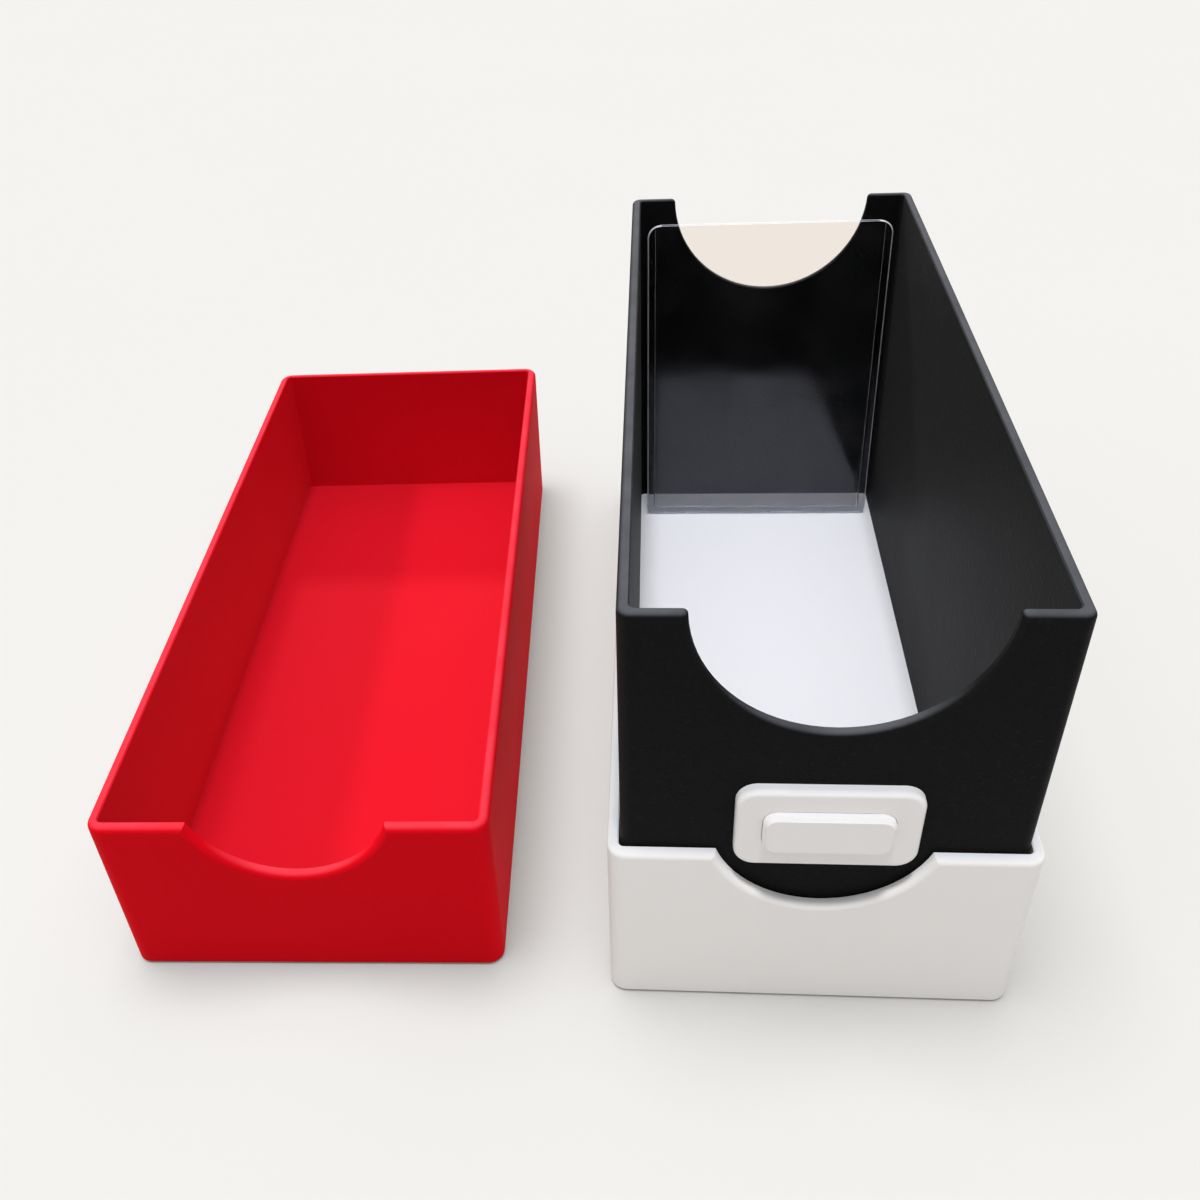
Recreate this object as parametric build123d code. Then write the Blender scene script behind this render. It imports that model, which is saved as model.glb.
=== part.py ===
from build123d import *
from math import cos, hypot, radians, sin
import os

os.makedirs("parts", exist_ok=True)

# Toploader storage box, millimetres, Z up, standing on the table plane Z = 0.
# The notched front faces -Y, the origin is the centre of the base tray's underside.

# The card holder that the whole box is sized for
holder_w = 76.2
holder_h = 101.6
holder_t = 1.8
holder_sheet = 0.4
holder_weld = 2.4
holder_top_r = 4.0
holder_foot_r = 2.5
holder_lean = 6.2
holder_gap = 0.9

# Room round the holders, and how far the stack of them runs
side_room = 2.2
stack_l = 205.8

# Walls and fits
sleeve_wall = 2.5
slip = 0.3
tray_wall = 2.5
floor_t = 2.4
tray_h = 48.4
band_h = 16.4

# Roundings
corner_r = 4.0
sleeve_r = 2.6
well_r = 1.2
bay_r = 1.2
rim_r = 1.6
sleeve_rim_r = 1.3
break_edge = 0.3
foot_break = 0.4
lead_in = 0.6

# Notches: one round window over the two tray rims, one half round grip at each sleeve end
window_r = 24.0
grip_r = 29.5
grip_corner_r = 1.2

# Blank label on the sleeve's front, in the middle of the window
label_w = 38.0
label_h = 22.0
label_t = 2.6
label_corner_r = 4.5
label_edge_r = 1.2
pad_margin = 5.6
pad_corner_r = 3.0
pad_rise = 2.0
pad_sink = 0.7
pad_fit = 0.1
pad_break = 0.8
peg_d = 4.0
peg_l = 1.5
peg_pitch = 22.0
peg_fit = 0.1

# Where the lid lies, open side up, to the left of the base
lid_x = -120.2
lid_y = 5.0
lid_turn = 1.6

# Sizes that follow from the ones above
bay_w = holder_w + 2 * side_room
bay_l = stack_l
sleeve_w = bay_w + 2 * sleeve_wall
sleeve_l = bay_l + 2 * sleeve_wall
well_w = sleeve_w + 2 * slip
well_l = sleeve_l + 2 * slip
tray_w = well_w + 2 * tray_wall
tray_l = well_l + 2 * tray_wall
sleeve_h = 2 * (tray_h - floor_t) + band_h
window_z = tray_h + band_h / 2
pad_w = label_w - 2 * pad_margin
pad_h = label_h - 2 * pad_margin


def from_outline(p, w, l, r):
    """Distance of a point from the outline of a rounded rectangle, seen from above."""
    qx = abs(p.X) - (w / 2 - r)
    qy = abs(p.Y) - (l / 2 - r)
    return abs(hypot(max(qx, 0), max(qy, 0)) + min(max(qx, qy), 0) - r)


def rim_edges(solid, w, l, r, z_low):
    """Edges that run along a rim: on the given outline, above z_low, and not plumb."""
    found = []
    for e in solid.edges():
        pts = [e.position_at(t) for t in (0.0, 0.25, 0.5, 0.75, 1.0)]
        plumb = max(hypot(p.X - pts[0].X, p.Y - pts[0].Y) for p in pts) < 0.01
        on_line = max(from_outline(p, w, l, r) for p in pts) < 0.01
        if on_line and not plumb and min(p.Z for p in pts) > z_low:
            found.append(e)
    return found


def foot_edges(solid, w, l, r):
    """Edges of the given outline at the very bottom of a solid."""
    ring = rim_edges(solid, w, l, r, -1.0)
    return [e for e in ring if e.position_at(0.5).Z < 0.01]


def bar(w, l, r, h):
    """Upright bar with rounded corners, standing on Z = 0."""
    return extrude(RectangleRounded(w, l, r), h)


def across_y(r, y, z, reach):
    """Round cutter lying along Y, centred on a wall."""
    return Pos(0, y, z) * Rot(90, 0, 0) * Cylinder(r, reach)


def tray():
    """Open tray with a round thumb window in its front wall and a rolled rim."""
    body = bar(tray_w, tray_l, corner_r, tray_h)
    body = chamfer(foot_edges(body, tray_w, tray_l, corner_r), foot_break)
    body -= Pos(0, 0, floor_t) * bar(well_w, well_l, well_r, tray_h)
    body -= across_y(window_r, -tray_l / 2, window_z, 8 * tray_wall)
    low = window_z - window_r - 1
    body = fillet(rim_edges(body, tray_w, tray_l, corner_r, low), rim_r)
    return chamfer(rim_edges(body, well_w, well_l, well_r, low), break_edge)


def sleeve():
    """Bottomless sleeve that stands in the base tray, with a half round grip at both ends."""
    body = bar(sleeve_w, sleeve_l, sleeve_r, sleeve_h) - bar(bay_w, bay_l, bay_r, sleeve_h)
    body = chamfer(foot_edges(body, sleeve_w, sleeve_l, sleeve_r), lead_in)
    for end in (-1, 1):
        wall_y = end * (sleeve_l - sleeve_wall) / 2
        body -= across_y(grip_r, wall_y, sleeve_h, 8 * sleeve_wall)
    body = fillet(grip_corners(body), grip_corner_r)
    low = sleeve_h - grip_r - 1
    body = fillet(rim_edges(body, sleeve_w, sleeve_l, sleeve_r, low), sleeve_rim_r)
    body = chamfer(rim_edges(body, bay_w, bay_l, bay_r, low), break_edge)
    body = Pos(0, 0, floor_t) * body
    for side in (-1, 1):
        hole = across_y(peg_d / 2 + peg_fit, -sleeve_l / 2, window_z, 2 * (peg_l + peg_fit))
        body -= Pos(side * peg_pitch / 2, 0, 0) * hole
    return body


def grip_corners(solid):
    """Short edges across the end walls where a grip meets the sleeve's top."""
    found = []
    for e in solid.edges().filter_by(Axis.Y):
        p = e.position_at(0.5)
        if abs(abs(p.X) - grip_r) < 0.01 and abs(p.Z - sleeve_h) < 0.01:
            found.append(e)
    return found


def on_front(shape, proud):
    """Stand a flat shape upright on the sleeve's front, its back this far proud of the wall."""
    return Pos(0, -sleeve_l / 2 - proud, window_z) * Rot(90, 0, 0) * shape


def label_plate():
    """Blank plate with a sunk seat for the pad and two pegs that locate it in the sleeve."""
    plate = bar(label_w, label_h, label_corner_r, label_t)
    plate = fillet(plate.faces().sort_by(Axis.Z)[-1].edges(), label_edge_r)
    seat = bar(pad_w + 2 * pad_fit, pad_h + 2 * pad_fit, pad_corner_r + pad_fit, pad_sink)
    plate -= Pos(0, 0, label_t - pad_sink) * seat
    for side in (-1, 1):
        plate += Pos(side * peg_pitch / 2, 0, -peg_l / 2) * Cylinder(peg_d / 2, peg_l)
    return on_front(plate, 0)


def label_pad():
    """Raised blank pad that sits in the plate's seat."""
    pad = bar(pad_w, pad_h, pad_corner_r, pad_sink + pad_rise)
    pad = chamfer(pad.faces().sort_by(Axis.Z)[-1].edges(), pad_break)
    return on_front(pad, label_t - pad_sink)


def holder_sheet_half(front):
    """One clear sheet of the card holder: a thin panel with a thicker welded border, open at the top."""
    half = holder_t / 2
    outline = Rectangle(holder_w, holder_h)
    outline = fillet(outline.vertices().sort_by(Axis.Y)[2:], holder_top_r)
    outline = fillet(outline.vertices().sort_by(Axis.Y)[:2], holder_foot_r)
    sheet = extrude(outline, half)
    pocket = Pos(0, holder_weld, (half - holder_sheet) / 2) * Box(
        holder_w - 2 * holder_weld, holder_h, half - holder_sheet
    )
    sheet -= pocket
    sheet = Pos(0, holder_h / 2, 0) * Rot(0, 0 if front else 180, 0) * sheet
    return sheet


def stand_holder(sheet):
    """Lean the holder back in the rear of the sleeve, its foot on the base tray's floor."""
    lean = radians(holder_lean)
    back_foot_z = -holder_t / 2 * sin(lean)
    back_top_y = holder_h * sin(lean) + holder_t / 2 * cos(lean)
    y = bay_l / 2 - holder_gap - back_top_y
    return Pos(0, y, floor_t - back_foot_z) * Rot(-holder_lean, 0, 0) * Rot(90, 0, 0) * sheet


parts = {
    "base_tray": tray(),
    "card_sleeve": sleeve(),
    "lid_tray": Pos(lid_x, lid_y, 0) * Rot(0, 0, lid_turn) * tray(),
    "label_plate": label_plate(),
    "label_pad": label_pad(),
    "holder_front_sheet": stand_holder(holder_sheet_half(True)),
    "holder_back_sheet": stand_holder(holder_sheet_half(False)),
}

for name, solid in parts.items():
    box = solid.bounding_box()
    print(name, "solids", len(solid.solids()), "volume", round(solid.volume, 1),
          "from", [round(v, 2) for v in box.min], "to", [round(v, 2) for v in box.max])
    export_step(solid, "parts/" + name + ".step")
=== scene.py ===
# %% [markdown]
# A toploader storage box on a table: a white base tray, a black sleeve that stands in it, a red lid tray
# laid open beside it, a blank white label on the sleeve and one clear card holder inside. The shells come
# from the solid model as they are. This lesson gives them their moulded finishes, remakes the clear holder
# as one hollow shell, and lights and frames the group as a plain studio picture.

# %% Load the solid model
from math import radians

import bmesh
import bpy
import numpy as np
from mathutils import Matrix, Vector


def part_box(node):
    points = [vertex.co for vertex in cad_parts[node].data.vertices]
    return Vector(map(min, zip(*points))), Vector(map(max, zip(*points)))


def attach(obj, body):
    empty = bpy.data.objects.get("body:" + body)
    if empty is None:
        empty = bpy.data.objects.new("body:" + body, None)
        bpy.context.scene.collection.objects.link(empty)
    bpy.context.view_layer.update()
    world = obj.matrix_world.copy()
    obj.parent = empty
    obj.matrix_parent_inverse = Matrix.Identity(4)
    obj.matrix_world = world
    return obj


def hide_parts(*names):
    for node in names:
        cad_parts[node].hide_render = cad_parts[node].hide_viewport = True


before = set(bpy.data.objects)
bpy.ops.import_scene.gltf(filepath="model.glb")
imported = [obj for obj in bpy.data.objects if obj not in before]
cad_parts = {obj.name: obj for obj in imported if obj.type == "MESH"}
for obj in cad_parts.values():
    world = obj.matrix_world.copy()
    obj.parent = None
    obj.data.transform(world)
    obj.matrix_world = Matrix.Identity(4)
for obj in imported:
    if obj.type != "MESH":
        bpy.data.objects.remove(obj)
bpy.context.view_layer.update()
MM = 0.001

# %% [markdown]
# Colours are written as the hex values a designer would read off a swatch. Blender's shaders work in
# linear light, so one function undoes the sRGB curve. A second small function adds any shader node, sets
# its values and makes its links, which keeps every material below short enough to read.

# %% Colour and node helpers
def hex_linear(code, alpha=1.0):
    """sRGB hex to linear: below 0.04045 divide by 12.92, else ((v + 0.055) / 1.055) to the power 2.4."""
    v = np.array([int(code[i:i + 2], 16) for i in (1, 3, 5)]) / 255
    lin = np.where(v <= 0.04045, v / 12.92, ((v + 0.055) / 1.055) ** 2.4)
    return (*lin.tolist(), alpha)


def put(tree, kind, sockets=None, **settings):
    """Add a shader node. Settings are its attributes; sockets maps an input to a value or an output."""
    node = tree.nodes.new(kind)
    for key, value in settings.items():
        setattr(node, key, value)
    for key, value in (sockets or {}).items():
        if isinstance(value, bpy.types.NodeSocket):
            tree.links.new(value, node.inputs[key])
        else:
            node.inputs[key].default_value = value
    return node


def new_material(name):
    """An empty node material with its output node."""
    material = bpy.data.materials.new(name)
    material.use_nodes = True
    material.node_tree.nodes.clear()
    return material, material.node_tree, put(material.node_tree, "ShaderNodeOutputMaterial")


print("white swatch", [round(c, 3) for c in hex_linear("#F2EFEC")])

# %% [markdown]
# The three shells and the label are injection moulded ABS. The tool for the white and red trays is spark
# eroded, which leaves a fine, even grain and a soft satin sheen. The tool for the black sleeve is etched
# with a wrinkled skin of short curled ridges, which shows faintly where light rakes along a wall. All
# patterns are worked out from Object coordinates, which are metres here, so a grain of half a millimetre is
# a scale of 2000.

# %% Grain of the two kinds of tool
SPARK_MM, SKIN_MM = 0.5, 1.4
ALONG_BOX = 0.4


def spark_grain(tree, where):
    """Height of a spark eroded face: fine noise, drawn coarser than a real one so that it shows."""
    noise = put(tree, "ShaderNodeTexNoise", {
        "Vector": where, "Scale": 1 / (SPARK_MM * MM), "Detail": 3.0, "Roughness": 0.6})
    return noise.outputs["Fac"]


def skin_grain(tree, where):
    """Height of an etched skin: ridged noise, bent into short curls that are longer along the box."""
    drawn = put(tree, "ShaderNodeMapping", {"Vector": where, "Scale": (1.0, ALONG_BOX, 1.0)})
    ridges = put(tree, "ShaderNodeTexNoise", {
        "Vector": drawn.outputs[0], "Scale": 1 / (SKIN_MM * MM), "Detail": 1.0, "Roughness": 0.4,
        "Distortion": 1.4}, noise_type="RIDGED_MULTIFRACTAL", normalize=True)
    return ridges.outputs["Fac"]


print("grain in mm: spark", SPARK_MM, "skin", SKIN_MM)

# %% [markdown]
# Three slower changes go into the colour. The colour drifts faintly over several centimetres, as pigment
# does when the melt flows round a tray. The tray floors have a tone of their own: a cooler white in the
# base, and in the lid a deeper red with a little more green and blue, which is painted shade against the
# strong light from above and a painted sheen. And the upward faces of the rims and thumb cut-outs get a
# painted highlight, more in some places than in others. Rims and floors are both found from the upward
# part of the surface normal, and a height tells them apart.

# %% Where light is painted on rims and floors
RIM_ABOVE_MM, PATCH_MM = 12, 9


def upward_masks(tree, coords, floor_z):
    """Painted rim light and painted floor tone: smooth step of the normal's Z, split 12 mm above the floor.
    """
    height = put(tree, "ShaderNodeSeparateXYZ", {0: coords.outputs["Object"]}).outputs["Z"]
    upward = put(tree, "ShaderNodeSeparateXYZ", {0: coords.outputs["Normal"]}).outputs["Z"]
    facing = put(tree, "ShaderNodeMapRange", {
        "Value": upward, "From Min": 0.50, "From Max": 1.0}, interpolation_type="SMOOTHSTEP")
    above = put(tree, "ShaderNodeMath", {0: height, 1: floor_z + RIM_ABOVE_MM * MM}, operation="GREATER_THAN")
    below = put(tree, "ShaderNodeMath", {0: 1.0, 1: above.outputs[0]}, operation="SUBTRACT")
    # The painted rim light is patchy: a slow noise makes it stronger in some places than in others.
    patch_noise = put(tree, "ShaderNodeTexNoise", {
        "Vector": coords.outputs["Object"], "Scale": 1 / (PATCH_MM * MM), "Detail": 3.0})
    patch = put(tree, "ShaderNodeMapRange", {
        "Value": patch_noise.outputs["Fac"], "From Min": 0.35, "From Max": 0.60, "To Min": 0.75, "To Max": 1.0})
    patchy_upward = put(tree, "ShaderNodeMath", {0: facing.outputs[0], 1: patch.outputs[0]}, operation="MULTIPLY")
    rim_painted_light = put(tree, "ShaderNodeMath", {0: patchy_upward.outputs[0], 1: above.outputs[0]}, operation="MULTIPLY")
    floor = put(tree, "ShaderNodeMath", {0: facing.outputs[0], 1: below.outputs[0]}, operation="MULTIPLY")
    return rim_painted_light.outputs[0], floor.outputs[0]


tray_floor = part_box("card_sleeve")[0].z
print("tray floor at", round(tray_floor / MM, 2), "mm")

# %% [markdown]
# ABS in bulk is a plain opaque plastic. Its index is 1.53, but the grain breaks up most of the mirror sheen,
# so the specular level is far below a polished face's, lowest on the dark and strong colours. Without that
# the pale room would wash the black out to grey. A bright tray also throws its colour on the table, which a
# photographer holds back with a card. Light Path does that here: rays that bounced off something matt see
# a thrown tone, which is weaker than the real one where the colour is strong. The etched skin scatters a
# little light at flat angles, which a trace of sheen gives, and its ridges are a slightly paler tone.

# %% Moulded ABS
ABS_IOR, DRIFT_MM = 1.53, 38


def moulded_abs(name, grain, depth_mm, tones, ridge, roughness, specular, sheen=0.0):
    """Moulded ABS: body tone with slow drift, painted floor tone and rim light, paler ridges, bumpy grain."""
    material, tree, out = new_material(name)
    coords = put(tree, "ShaderNodeTexCoord")
    where = coords.outputs["Object"]
    rim_painted_light, floor = upward_masks(tree, coords, tray_floor)
    # Floor and rim tones are painted light: shade and sheen on the red floor, highlight and shade on rims.
    body, drift, floor_painted_tone, rim_painted_tone, thrown = [hex_linear(code) for code in tones]
    slow = put(tree, "ShaderNodeTexNoise", {"Vector": where, "Scale": 1 / (DRIFT_MM * MM), "Detail": 2.0})
    tint = put(tree, "ShaderNodeMix", {0: slow.outputs["Fac"], 6: body, 7: drift}, data_type="RGBA")
    tint = put(tree, "ShaderNodeMix", {0: floor, 6: tint.outputs[2], 7: floor_painted_tone}, data_type="RGBA")
    height = grain(tree, where)
    # The paler ridges of the grain take the painted rim tone too, a little.
    crest = put(tree, "ShaderNodeMapRange", {
        "Value": height, "From Min": 0.0, "From Max": 0.40, "To Min": 0.0, "To Max": ridge})
    rim_painted_light = put(tree, "ShaderNodeMath", {0: rim_painted_light, 1: crest.outputs[0]}, operation="MAXIMUM").outputs[0]
    tint = put(tree, "ShaderNodeMix", {0: rim_painted_light, 6: tint.outputs[2], 7: rim_painted_tone}, data_type="RGBA")
    bounced = put(tree, "ShaderNodeLightPath").outputs["Is Diffuse Ray"]
    tint = put(tree, "ShaderNodeMix", {0: bounced, 6: tint.outputs[2], 7: thrown}, data_type="RGBA")
    patchy = put(tree, "ShaderNodeMapRange", {
        "Value": slow.outputs["Fac"], "To Min": roughness - 0.05, "To Max": roughness + 0.05})
    bump = put(tree, "ShaderNodeBump", {"Height": height, "Strength": 1.0, "Distance": depth_mm * MM})
    skin = put(tree, "ShaderNodeBsdfPrincipled", {
        "Base Color": tint.outputs[2], "Roughness": patchy.outputs[0], "Normal": bump.outputs["Normal"],
        "IOR": ABS_IOR, "Specular IOR Level": specular, "Sheen Weight": sheen, "Sheen Roughness": 0.5})
    tree.links.new(skin.outputs["BSDF"], out.inputs["Surface"])
    return material


# White: a cooler floor, and greyer upward rims, a painted shade that keeps them from burning out.
white = moulded_abs("white_abs_spark_eroded", spark_grain, 0.010,
                    ("#F2EFEC", "#EFECE9", "#F2F2F6", "#D6D6D9", "#EEEBE9"),
                    ridge=0.05, roughness=0.56, specular=0.20)
print(white.name, "has", len(white.node_tree.nodes), "nodes")

# %% [markdown]
# The other finishes are the same material with other tones. The painted rim light makes the red paler and a
# little pink and the black grey; on the white it is a greyer painted shade, which keeps the white rims from
# burning out. The label is moulded in a smoother tool, so its grain is shallower and its sheen tighter.
# Each material then goes on its solid as it is.

# %% Dress the shells
# Red: a deeper floor with more green and blue, painted shade and sheen; a pink painted highlight on rims.
red = moulded_abs("red_abs_spark_eroded", spark_grain, 0.010,
                  ("#CE0213", "#CA0212", "#BB0B1B", "#CE3240", "#BEA8A6"),
                  ridge=0.04, roughness=0.60, specular=0.015)
# Black: a grey painted highlight on the upward rims.
black = moulded_abs("black_abs_etched_skin", skin_grain, 0.08,
                    ("#101011", "#131314", "#101011", "#47484C", "#0D0D0E"),
                    ridge=0.04, roughness=0.52, specular=0.022, sheen=0.025)
# Label: greyer upward faces, a painted shade.
label = moulded_abs("white_abs_satin_label", spark_grain, 0.006,
                    ("#F0EDEB", "#EEEBE9", "#F0EDEB", "#D6D6D9", "#EEEBE9"),
                    ridge=0.03, roughness=0.42, specular=0.20)
finishes = {
    "base_tray": white, "lid_tray": red, "card_sleeve": black, "label_plate": label, "label_pad": label}
for name, material in finishes.items():
    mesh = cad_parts[name].data
    mesh.materials.clear()
    mesh.materials.append(material)
    print(name, "wears", material.name)

# %% [markdown]
# The card holder is rigid clear PVC: a front and a rear sheet welded along both sides and the bottom, open
# at the top. Two touching solids would show a false mirror at their shared face, so here it is one closed
# shell with a real pocket. Every level across it is a flat stadium, two straight runs joined by half
# circles, and the stadium's half width shrinks near the top and bottom so that the corners come out round.

# %% Shape of the clear holder
holder_w, holder_h, holder_t = 76.2 * MM, 101.6 * MM, 1.8 * MM
sheet_t, weld_w = 0.4 * MM, 2.4 * MM
top_r, foot_r = 4.0 * MM, 2.5 * MM
lean = radians(6.2)


def corner_inset(z, low, high, r_low, r_high):
    """Step in of a rounded rectangle's side at height z: r minus the circle's half chord near an end."""
    near_low = np.clip(r_low - (z - low), 0, r_low)
    near_high = np.clip(r_high - (high - z), 0, r_high)
    inset_low = r_low - np.sqrt(r_low**2 - near_low**2)
    inset_high = r_high - np.sqrt(r_high**2 - near_high**2)
    return inset_low + inset_high


def stadium(half_w, half_t, z, run=40, cap=10):
    """Rows of a stadium: straight runs at plus and minus half_t, half circles of that radius at the ends."""
    along = np.linspace(-1, 1, run)
    turn = np.linspace(-np.pi / 2, np.pi / 2, cap + 2)[1:-1]
    share = np.concatenate([along, np.ones(cap), -along, -np.ones(cap)])
    bulge = np.concatenate([np.zeros(run), np.cos(turn), np.zeros(run), -np.cos(turn)])
    depth = np.concatenate([-np.ones(run), np.sin(turn), np.ones(run), -np.sin(turn)])
    x = share * (half_w - half_t)[:, None] + bulge * half_t[:, None]
    y = depth * half_t[:, None]
    return np.stack([x, y, np.broadcast_to(z[:, None], x.shape)], axis=-1)


def closed_shell(name, rows):
    """Mesh from rows of points round a tube: quads between neighbours, end rows welded shut."""
    n, m = rows.shape[:2]
    index = np.arange(n * m).reshape(n, m)
    beside = np.roll(index, -1, 1)
    quads = np.stack([index[:-1], beside[:-1], beside[1:], index[1:]], -1)
    mesh = bpy.data.meshes.new(name)
    mesh.from_pydata(rows.reshape(-1, 3).tolist(), [], quads.reshape(-1, 4).tolist())
    work = bmesh.new()
    work.from_mesh(mesh)
    bmesh.ops.remove_doubles(work, verts=work.verts, dist=1e-6)
    bmesh.ops.recalc_face_normals(work, faces=work.faces)
    work.to_mesh(mesh)
    work.free()
    mesh.polygons.foreach_set("use_smooth", np.ones(len(mesh.polygons), dtype=bool))
    return mesh


ease = np.sin(np.linspace(0, np.pi / 2, 12))
foot_z = holder_t / 2 * (1 - np.cos(np.linspace(0, np.pi / 2, 8)))
outer_z = np.unique(np.concatenate([
    foot_z, foot_r * ease, np.linspace(foot_r, holder_h - top_r, 24),
    holder_h - top_r + top_r * ease]).round(9))
outer_t = np.sqrt(np.maximum((holder_t / 2) ** 2 - np.maximum(holder_t / 2 - outer_z, 0) ** 2, 0))
outer_w = holder_w / 2 - corner_inset(outer_z, 0, holder_h, foot_r, top_r)
pocket_t = holder_t / 2 - sheet_t
pocket_z = weld_w + pocket_t * (1 - np.cos(np.linspace(0, np.pi / 2, 6)))
inner_z = np.unique(np.concatenate([
    pocket_z, np.linspace(weld_w + pocket_t, holder_h - top_r, 24),
    holder_h - top_r + top_r * ease]).round(9))[::-1]
inner_t = np.sqrt(np.maximum(pocket_t**2 - np.maximum(pocket_t - (inner_z - weld_w), 0) ** 2, 0))
inner_w = np.minimum(
    holder_w / 2 - weld_w, holder_w / 2 - corner_inset(inner_z, 0, holder_h, foot_r, top_r) - sheet_t)
rows = np.concatenate([stadium(outer_w, outer_t, outer_z), stadium(inner_w, inner_t, inner_z)])
holder_mesh = closed_shell("card_holder", rows)
print("holder points", len(holder_mesh.vertices), "faces", len(holder_mesh.polygons))

# %% [markdown]
# The rounded outside of the holder is where the sheet was cut and welded, and it gets a finish of its own.
# Its faces are those near the outline whose normal does not look straight out of the sheet. Then the shell
# leans back into the rear of the sleeve: its foot is on the tray floor and its top edge near the rear wall,
# just where the solid model has it.

# %% Edge faces and place of the holder
facing = np.empty(len(holder_mesh.polygons) * 3)
holder_mesh.polygons.foreach_get("normal", facing)
centre = np.empty(len(holder_mesh.polygons) * 3)
holder_mesh.polygons.foreach_get("center", centre)
x, _, z = centre.reshape(-1, 3).T
side = holder_w / 2 - corner_inset(z, 0, holder_h, foot_r, top_r)
outside = (np.abs(x) > side - sheet_t) | (z > holder_h - sheet_t) | (z < sheet_t)
edge_face = outside & (np.abs(facing.reshape(-1, 3)[:, 1]) < 0.9)
holder_mesh.polygons.foreach_set("material_index", edge_face.astype(np.int32))
back_low, back_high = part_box("holder_back_sheet")
foot_y = back_high.y - holder_h * np.sin(lean) - holder_t / 2 * np.cos(lean)
stand = Matrix.Translation((0, foot_y, back_low.z + holder_t / 2 * np.sin(lean)))
holder_mesh.transform(stand @ Matrix.Rotation(-lean, 4, "X"))
holder = bpy.data.objects.new("card_holder", holder_mesh)
bpy.context.scene.collection.objects.link(holder)
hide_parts("holder_front_sheet", "holder_back_sheet")
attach(holder, "holder")
print("edge faces", int(edge_face.sum()), "of", len(edge_face))

# %% [markdown]
# Calendered PVC sheet is clear with a faint warm cast. It is smooth but not optically flat, so it mirrors
# the white floor of the box softly, and slow smudges from fingers change its gloss. Solid PVC has an index
# of 1.53, at which a face mirrors 4.4 percent straight on. Here it is 1.30, which mirrors 1.7 percent and
# was matched to the pale patch of floor in the sheet. The cut and welded edges are a little milky. Their
# milky white also stands in for the light that runs inside the sheet and comes out there, so the pale
# lines they show are partly painted light.

# %% Clear PVC
SHEET_IOR, SMUDGE_MM = 1.30, 17


def clear_pvc(name, colour, rough_low, rough_high, clearness):
    """Clear PVC sheet with smudged gloss; clearness below one mixes in the milky body of a cut edge."""
    material, tree, out = new_material(name)
    where = put(tree, "ShaderNodeTexCoord").outputs["Object"]
    smudge = put(tree, "ShaderNodeTexNoise", {"Vector": where, "Scale": 1 / (SMUDGE_MM * MM), "Detail": 4.0})
    gloss = put(tree, "ShaderNodeMapRange", {
        "Value": smudge.outputs["Fac"], "From Min": 0.35, "From Max": 0.75,
        "To Min": rough_low, "To Max": rough_high})
    clear = put(tree, "ShaderNodeBsdfPrincipled", {
        "Base Color": hex_linear(colour), "Roughness": gloss.outputs[0], "IOR": SHEET_IOR,
        "Specular Tint": hex_linear("#DEE9FA"), "Transmission Weight": clearness})
    tree.links.new(clear.outputs["BSDF"], out.inputs["Surface"])
    return material


holder_mesh.materials.append(clear_pvc("clear_pvc_calendered", "#FFFBF8", 0.06, 0.14, 1.0))
# The cut edge's milky white is partly painted light: it stands in for light leaving the sheet there.
holder_mesh.materials.append(clear_pvc("clear_pvc_cut_edge", "#F0F0F6", 0.25, 0.35, 0.25))
print("holder wears", [m.name for m in holder_mesh.materials])

# %% [markdown]
# The setting is a seamless pale table. A wide disc of matt paint takes the soft shadows, and the world
# behind it shows the same pale tone to the camera, in reflections and through the clear sheet, so hardly
# any horizon shows. The disc lies a third of a millimetre under the trays, which leaves the thin dark line
# under their front edges. That gap is chosen for the looks and was not measured.

# %% Table
paint, tree, out = new_material("pale_matt_paint")
where = put(tree, "ShaderNodeTexCoord").outputs["Object"]
mottle = put(tree, "ShaderNodeTexNoise", {"Vector": where, "Scale": 1 / (160 * MM), "Detail": 2.0})
shade = put(tree, "ShaderNodeMix", {
    0: mottle.outputs["Fac"], 6: hex_linear("#D0CFCD"), 7: hex_linear("#CFCECC")}, data_type="RGBA")
matt = put(tree, "ShaderNodeBsdfPrincipled", {
    "Base Color": shade.outputs[2], "Roughness": 0.9, "Specular IOR Level": 0.1})
tree.links.new(matt.outputs["BSDF"], out.inputs["Surface"])
corners, reach, under = 96, 6.0, 0.35 * MM
angle = np.linspace(0, 2 * np.pi, corners, endpoint=False)
edge = np.stack([reach * np.cos(angle), reach * np.sin(angle), np.full(corners, -under)], -1)
table_mesh = bpy.data.meshes.new("table")
table_mesh.from_pydata(edge.tolist(), [], [list(range(corners))])
table_mesh.materials.append(paint)
table = bpy.data.objects.new("table", table_mesh)
bpy.context.scene.collection.objects.link(table)
print("table radius in metres", reach)

# %% [markdown]
# A dome of light stands for a white room with a large soft light in its ceiling: dim near the horizon and
# bright overhead. It gives the soft dark halo round the foot of each shell. Camera rays, reflections and
# rays through the clear sheet see a plain pale tone in its place.

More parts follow.
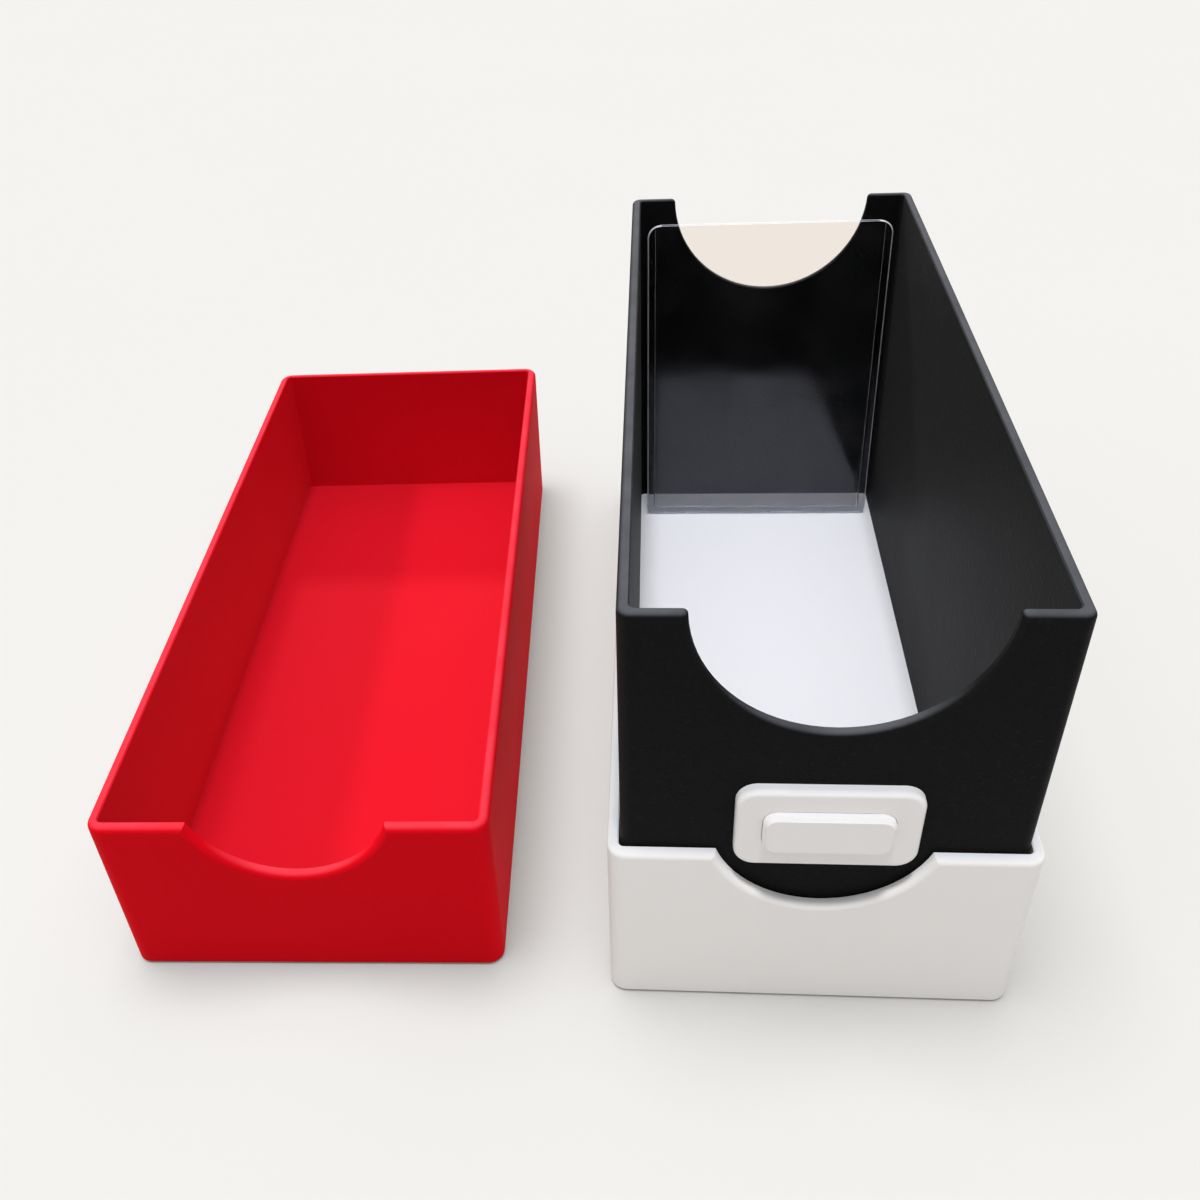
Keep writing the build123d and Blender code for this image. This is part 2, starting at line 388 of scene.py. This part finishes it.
# %% Dome and backdrop
world = bpy.data.worlds.new("studio")
bpy.context.scene.world = world
world.use_nodes = True
tree = world.node_tree
tree.nodes.clear()
out = put(tree, "ShaderNodeOutputWorld")
sky = put(tree, "ShaderNodeTexCoord").outputs["Generated"]
up = put(tree, "ShaderNodeSeparateXYZ", {0: sky}).outputs["Z"]
horizon, zenith = 0.36, 1.52
dome = put(tree, "ShaderNodeMapRange", {
    "Value": up, "From Min": 0.60, "From Max": 0.97, "To Min": horizon, "To Max": zenith},
    interpolation_type="SMOOTHSTEP")
fill = put(tree, "ShaderNodeBackground", {"Color": hex_linear("#FFFFFF"), "Strength": dome.outputs[0]})
seen = put(tree, "ShaderNodeBackground", {"Color": hex_linear("#F4F3F1"), "Strength": 1.0})
path = put(tree, "ShaderNodeLightPath").outputs
eye = put(tree, "ShaderNodeMath", {
    0: path["Is Camera Ray"], 1: path["Is Glossy Ray"]}, operation="MAXIMUM")
eye = put(tree, "ShaderNodeMath", {
    0: eye.outputs[0], 1: path["Is Transmission Ray"]}, operation="MAXIMUM")
both = put(tree, "ShaderNodeMixShader", {0: eye.outputs[0], 1: fill.outputs[0], 2: seen.outputs[0]})
tree.links.new(both.outputs[0], out.inputs["Surface"])
print("dome from", horizon, "at the horizon to", zenith, "overhead")

# %% [markdown]
# The lamps add direction. A softbox straight above, a little to the viewer's side, reaches the floor of the
# deep box and lights the fronts. Two weaker windows, at the left and at the rear, leave the faint steps of
# shade on the floor of the open lid. The rear one stands a little to the left, so it also rakes along the
# sleeve's right inner wall. The weakest lamp is a white card low at the right: it only lifts the lid's left
# inner wall and throws no shadow.
#
# In a studio, flags would keep these lamps off the table, and the windows off the white pieces, whose edges
# would burn out. Here light linking does it: each lamp has a group of the objects that it lights. The table
# gets one wide lamp of its own, nearly straight above, which leaves a soft dark halo at the foot of each
# shell. The holder is clear, but in Cycles no lamp shines through a refracting shell, so a share of the
# softbox is a cool lamp of its own that the holder does not block. It lights the strip of floor behind the
# holder.

# %% Lamps
def sun(name, azimuth, elevation, strength, spread, lit, passes=None):
    """Parallel light from an azimuth (0 is the rear, 90 the left) and an elevation, on the lit objects.
    The object that it passes throws no shadow in this light."""
    lamp = bpy.data.lights.new(name, "SUN")
    lamp.energy = strength
    lamp.angle = radians(spread)
    obj = bpy.data.objects.new(name, lamp)
    tilt = Matrix.Rotation(radians(elevation - 90), 3, "X")
    obj.rotation_euler = (Matrix.Rotation(radians(azimuth), 3, "Z") @ tilt).to_euler()
    bpy.context.scene.collection.objects.link(obj)
    group = bpy.data.collections.new(name + "_lights")
    for item in lit:
        group.objects.link(item)
    obj.light_linking.receiver_collection = group
    if passes:
        clear = bpy.data.collections.new(name + "_passes")
        clear.objects.link(passes)
        clear.collection_objects[0].light_linking.link_state = "EXCLUDE"
        obj.light_linking.blocker_collection = clear
    along = obj.rotation_euler.to_matrix() @ Vector((0, 0, -1))
    print(name, "shines along", [round(c, 2) for c in along], "on", len(lit), "objects")
    return lamp


box_and_lid = [*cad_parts.values(), holder]
deep_toned = [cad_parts["lid_tray"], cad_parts["card_sleeve"], holder]
sun("softbox_above", 175, 84, 1.65, 7, box_and_lid)
through = sun("softbox_through", 175, 84, 0.25, 7, box_and_lid, holder)
through.color = hex_linear("#C4DCFF")[:3]
sun("window_left", 90, 47, 1.22, 6, deep_toned)
sun("window_rear", 9, 36.6, 1.25, 6, deep_toned)
card = sun("card_right", 265, 8, 0.45, 20, [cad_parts["lid_tray"]])
card.use_shadow = False
sun("table_light", 57, 83.2, 2.05, 32, [table])

# %% [markdown]
# The camera is set as the picture was taken: from the front, a little under 40 cm away, looking down at
# about forty degrees. A lens about as long as the sensor is wide gives the strong convergence. Its place,
# angles and small shift were found from the outer edges of the two trays and the sleeve.

# %% Camera
eye_at = Vector((-35.90, -281.25, 250.54)) * MM
pitch, yaw, roll = radians(38.65), radians(6.56), radians(3.89)
look = Matrix.Rotation(yaw, 3, "Z") @ Matrix.Rotation(-pitch, 3, "X") @ Matrix.Rotation(roll, 3, "Y")
turn = (look @ Matrix.Rotation(radians(90), 3, "X")).to_4x4()
camera = bpy.data.cameras.new("camera")
camera.sensor_width = 36.0
camera.lens = 36.99
camera.shift_x, camera.shift_y = 0.0478, 0.0190
camera.clip_start, camera.clip_end = 0.01, 50.0
camera_obj = bpy.data.objects.new("camera", camera)
camera_obj.matrix_world = Matrix.Translation(eye_at) @ turn
bpy.context.scene.collection.objects.link(camera_obj)
bpy.context.scene.camera = camera_obj
bpy.context.scene.view_settings.view_transform = "Standard"
print("camera looks along", [round(c, 3) for c in turn.to_3x3() @ Vector((0, 0, -1))])
